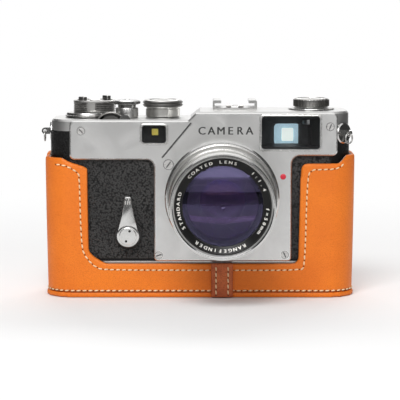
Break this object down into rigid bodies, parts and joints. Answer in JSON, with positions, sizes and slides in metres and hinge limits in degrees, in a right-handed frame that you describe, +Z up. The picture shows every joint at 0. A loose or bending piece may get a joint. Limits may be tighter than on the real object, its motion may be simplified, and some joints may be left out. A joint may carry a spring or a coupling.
{
  "type": "rangefinder camera",
  "caption": "Chrome rangefinder camera with a fast standard lens, focusing wheel, winding lever and self-timer, seated in a tan leather half case.",
  "frame": {"origin": "mouth of the tripod socket on the underside of the case, at the case's bottom plane", "axes": "+Z up, +X to the right as seen from the front, the lens looks along -Y"},
  "size_m": [0.1441, 0.0754, 0.0906],
  "materials": {
    "chrome_satin": "satin chrome plate over brass sheet",
    "chrome_polished": "polished chrome plate",
    "knurled_chrome": "knurled satin chrome",
    "casting_black": "matte black paint on die-cast aluminium",
    "black_enamel": "semi-gloss black enamel",
    "leatherette": "black pebbled covering",
    "case_leather": "tan saddle leather",
    "strap_leather": "darker red-brown saddle leather",
    "case_board": "pressed fibre board lined with suede",
    "glass_clear": "clear polished glass",
    "glass_coated": "purple-coated lens glass",
    "steel": "ground steel",
    "brass": "machined brass",
    "aluminium": "machined aluminium",
    "black_plastic": "black moulded plastic",
    "curtain_cloth": "rubberised black curtain cloth"
  },
  "bodies": {
    "camera": {"body_casting": "casting_black", "top_cover": "chrome_satin", "front_plate": "chrome_satin", "front_plate_screws": "chrome_polished", "grip_covering_left": "leatherette", "grip_covering_right": "leatherette", "viewfinder_window": "glass_clear", "rangefinder_window": "glass_clear", "viewfinder_lens": "glass_clear", "rangefinder_prism": "glass_clear", "eyepiece_ring": "black_enamel", "eyepiece_lens": "glass_clear", "accessory_shoe": "chrome_satin", "shoe_spring": "steel", "light_box": "black_enamel", "film_gate": "steel", "shutter_curtain": "curtain_cloth", "tripod_bush": "steel", "lens_mount_ring": "chrome_polished", "self_timer_escutcheon": "black_enamel", "strap_lugs": "chrome_polished"},
    "release_collar": {"release_collar": "chrome_satin"},
    "release_button": {"release_button": "chrome_polished"},
    "advance_lever": {"advance_lever": "chrome_polished"},
    "frame_counter": {"frame_counter_drum": "knurled_chrome"},
    "speed_dial": {"speed_dial": "knurled_chrome"},
    "rewind_sleeve": {"rewind_sleeve": "chrome_satin"},
    "rewind_knob": {"rewind_knob": "knurled_chrome", "rewind_shaft": "steel"},
    "focusing_wheel": {"focusing_wheel": "steel"},
    "idler_upper": {"idler_gear_upper": "brass"},
    "idler_lower": {"idler_gear_lower": "brass"},
    "mount_gear": {"mount_gear": "brass"},
    "cam_ring": {"cam_ring": "brass"},
    "lens": {"lens_barrel": "chrome_satin", "distance_ring": "knurled_chrome", "filter_rim": "chrome_polished", "name_ring": "black_enamel", "front_element": "glass_coated", "rear_elements": "glass_coated", "iris_blades": "black_enamel"},
    "aperture_ring": {"aperture_ring": "knurled_chrome"},
    "self_timer": {"self_timer_lever": "chrome_polished"},
    "take_up_spool": {"take_up_spool": "black_plastic"},
    "sprocket": {"sprocket": "aluminium"},
    "drum_left": {"shutter_drum_left": "brass"},
    "drum_right": {"shutter_drum_right": "brass"},
    "ring_left": {"strap_ring_left": "steel"},
    "ring_right": {"strap_ring_right": "steel"},
    "back": {"back_cover": "chrome_satin", "back_covering": "leatherette", "pressure_plate": "black_enamel"},
    "key_left": {"lock_key_left": "chrome_polished"},
    "key_right": {"lock_key_right": "chrome_polished"},
    "case": {"case_shell": "case_leather", "case_sole": "case_leather", "case_filler": "case_board", "case_strap": "strap_leather"},
    "case_screw": {"case_screw": "brass"},
    "infinity_lock": {"infinity_lock": "chrome_polished"}
  },
  "joints": [
    {"name": "release_press", "type": "slide", "parent": "camera", "child": "release_button", "axis": [0, 0, -1], "range_m": [0, 0.0015], "stiffness_N_per_m": 300, "springref_m": -0.0006},
    {"name": "release_collar_turn", "type": "hinge", "parent": "camera", "child": "release_collar", "pos_m": [-0.0336, -0.001, 0.085], "axis": [0, 0, 1], "range_deg": [0, 60]},
    {"name": "advance_wind", "type": "hinge", "parent": "camera", "child": "advance_lever", "pos_m": [-0.0518, 0.002, 0.082], "axis": [0, 0, 1], "range_deg": [0, 136]},
    {"name": "counter_turn", "type": "hinge", "parent": "camera", "child": "frame_counter", "pos_m": [-0.0518, 0.002, 0.082], "axis": [0, 0, 1], "range_deg": [0, 351]},
    {"name": "sprocket_turn", "type": "hinge", "parent": "camera", "child": "sprocket", "pos_m": [-0.026, 0.004, 0.0457], "axis": [0, 0, 1], "range_deg": [0, 361]},
    {"name": "take_up_turn", "type": "hinge", "parent": "camera", "child": "take_up_spool", "pos_m": [-0.0518, 0.002, 0.0457], "axis": [0, 0, 1], "range_deg": [0, 312]},
    {"name": "drum_left_turn", "type": "hinge", "parent": "camera", "child": "drum_left", "pos_m": [-0.012, 0.006, 0.0457], "axis": [0, 0, 1], "range_deg": [0, 826]},
    {"name": "drum_right_turn", "type": "hinge", "parent": "camera", "child": "drum_right", "pos_m": [0.032, 0.006, 0.0457], "axis": [0, 0, 1], "range_deg": [0, 826]},
    {"name": "speed_turn", "type": "hinge", "parent": "camera", "child": "speed_dial", "pos_m": [-0.0172, 0.003, 0.085], "axis": [0, 0, 1], "range_deg": [-150, 150]},
    {"name": "rewind_turn", "type": "hinge", "parent": "camera", "child": "rewind_sleeve", "pos_m": [0.0514, 0.002, 0.086], "axis": [0, 0, 1], "continuous": true},
    {"name": "rewind_lift", "type": "slide", "parent": "rewind_sleeve", "child": "rewind_knob", "axis": [0, 0, 1], "range_m": [0, 0.006]},
    {"name": "lens_slide", "type": "slide", "parent": "camera", "child": "cam_ring", "axis": [0, -1, 0], "range_m": [0, 0.0027]},
    {"name": "focus_turn", "type": "hinge", "parent": "cam_ring", "child": "lens", "pos_m": [0.01, 0, 0.0457], "axis": [0, -1, 0], "range_deg": [0, 180]},
    {"name": "mount_gear_turn", "type": "hinge", "parent": "camera", "child": "mount_gear", "pos_m": [0.01, 0, 0.0457], "axis": [0, -1, 0], "range_deg": [0, 180.5]},
    {"name": "idler_lower_turn", "type": "hinge", "parent": "camera", "child": "idler_lower", "pos_m": [-0.01966, 0, 0.06017], "axis": [0, -1, 0], "range_deg": [-481, 0]},
    {"name": "idler_upper_turn", "type": "hinge", "parent": "camera", "child": "idler_upper", "pos_m": [-0.03667, 0, 0.06606], "axis": [0, -1, 0], "range_deg": [0, 481]},
    {"name": "wheel_turn", "type": "hinge", "parent": "camera", "child": "focusing_wheel", "pos_m": [-0.0405, 0, 0.0769], "axis": [0, -1, 0], "range_deg": [-1730, 0]},
    {"name": "aperture_turn", "type": "hinge", "parent": "lens", "child": "aperture_ring", "pos_m": [0.01, 0, 0.0457], "axis": [0, -1, 0], "range_deg": [0, 96]},
    {"name": "self_timer_turn", "type": "hinge", "parent": "camera", "child": "self_timer", "pos_m": [-0.0327, 0, 0.0286], "axis": [0, -1, 0], "range_deg": [0, 175]},
    {"name": "infinity_lock_press", "type": "slide", "parent": "camera", "child": "infinity_lock", "axis": [0, 0, -1], "range_m": [0, 0.001], "stiffness_N_per_m": 300, "springref_m": -0.0006},
    {"name": "ring_left_swing", "type": "hinge", "parent": "camera", "child": "ring_left", "pos_m": [-0.0716, 0, 0.0748], "axis": [0, 1, 0], "range_deg": [-20, 110]},
    {"name": "ring_right_swing", "type": "hinge", "parent": "camera", "child": "ring_right", "pos_m": [0.06762, -0.01562, 0.0748], "axis": [-0.7071, -0.7071, 0], "range_deg": [-20, 110]},
    {"name": "case_slide", "type": "slide", "parent": "camera", "child": "case", "axis": [0, 0, -1], "range_m": [0, 0.085]},
    {"name": "case_screw_turn", "type": "hinge", "parent": "case", "child": "case_screw", "pos_m": [0, 0, 0.005], "axis": [0, 0, 1], "continuous": true},
    {"name": "back_slide", "type": "slide", "parent": "camera", "child": "back", "axis": [0, 0, -1], "range_m": [0, 0.085]},
    {"name": "key_left_turn", "type": "hinge", "parent": "back", "child": "key_left", "pos_m": [-0.0518, 0, 0.0096], "axis": [0, 0, -1], "range_deg": [0, 180]},
    {"name": "key_right_turn", "type": "hinge", "parent": "back", "child": "key_right", "pos_m": [0.0514, 0, 0.0096], "axis": [0, 0, -1], "range_deg": [0, 180]}
  ],
  "couplings": [
    {"joint": "lens_slide", "follows": "focus_turn", "m_per_rad": 0.000859},
    {"joint": "mount_gear_turn", "follows": "focus_turn", "ratio": 1},
    {"joint": "idler_lower_turn", "follows": "focus_turn", "ratio": -2.6667},
    {"joint": "idler_upper_turn", "follows": "focus_turn", "ratio": 2.6667},
    {"joint": "wheel_turn", "follows": "focus_turn", "ratio": -9.6},
    {"joint": "counter_turn", "follows": "advance_wind", "ratio": 0.0662},
    {"joint": "sprocket_turn", "follows": "advance_wind", "ratio": 2.647},
    {"joint": "take_up_turn", "follows": "advance_wind", "ratio": 2.28},
    {"joint": "drum_left_turn", "follows": "advance_wind", "ratio": 6.066},
    {"joint": "drum_right_turn", "follows": "advance_wind", "ratio": 6.066},
    {"joint": "back_slide", "follows": "case_slide", "ratio": 1}
  ]
}
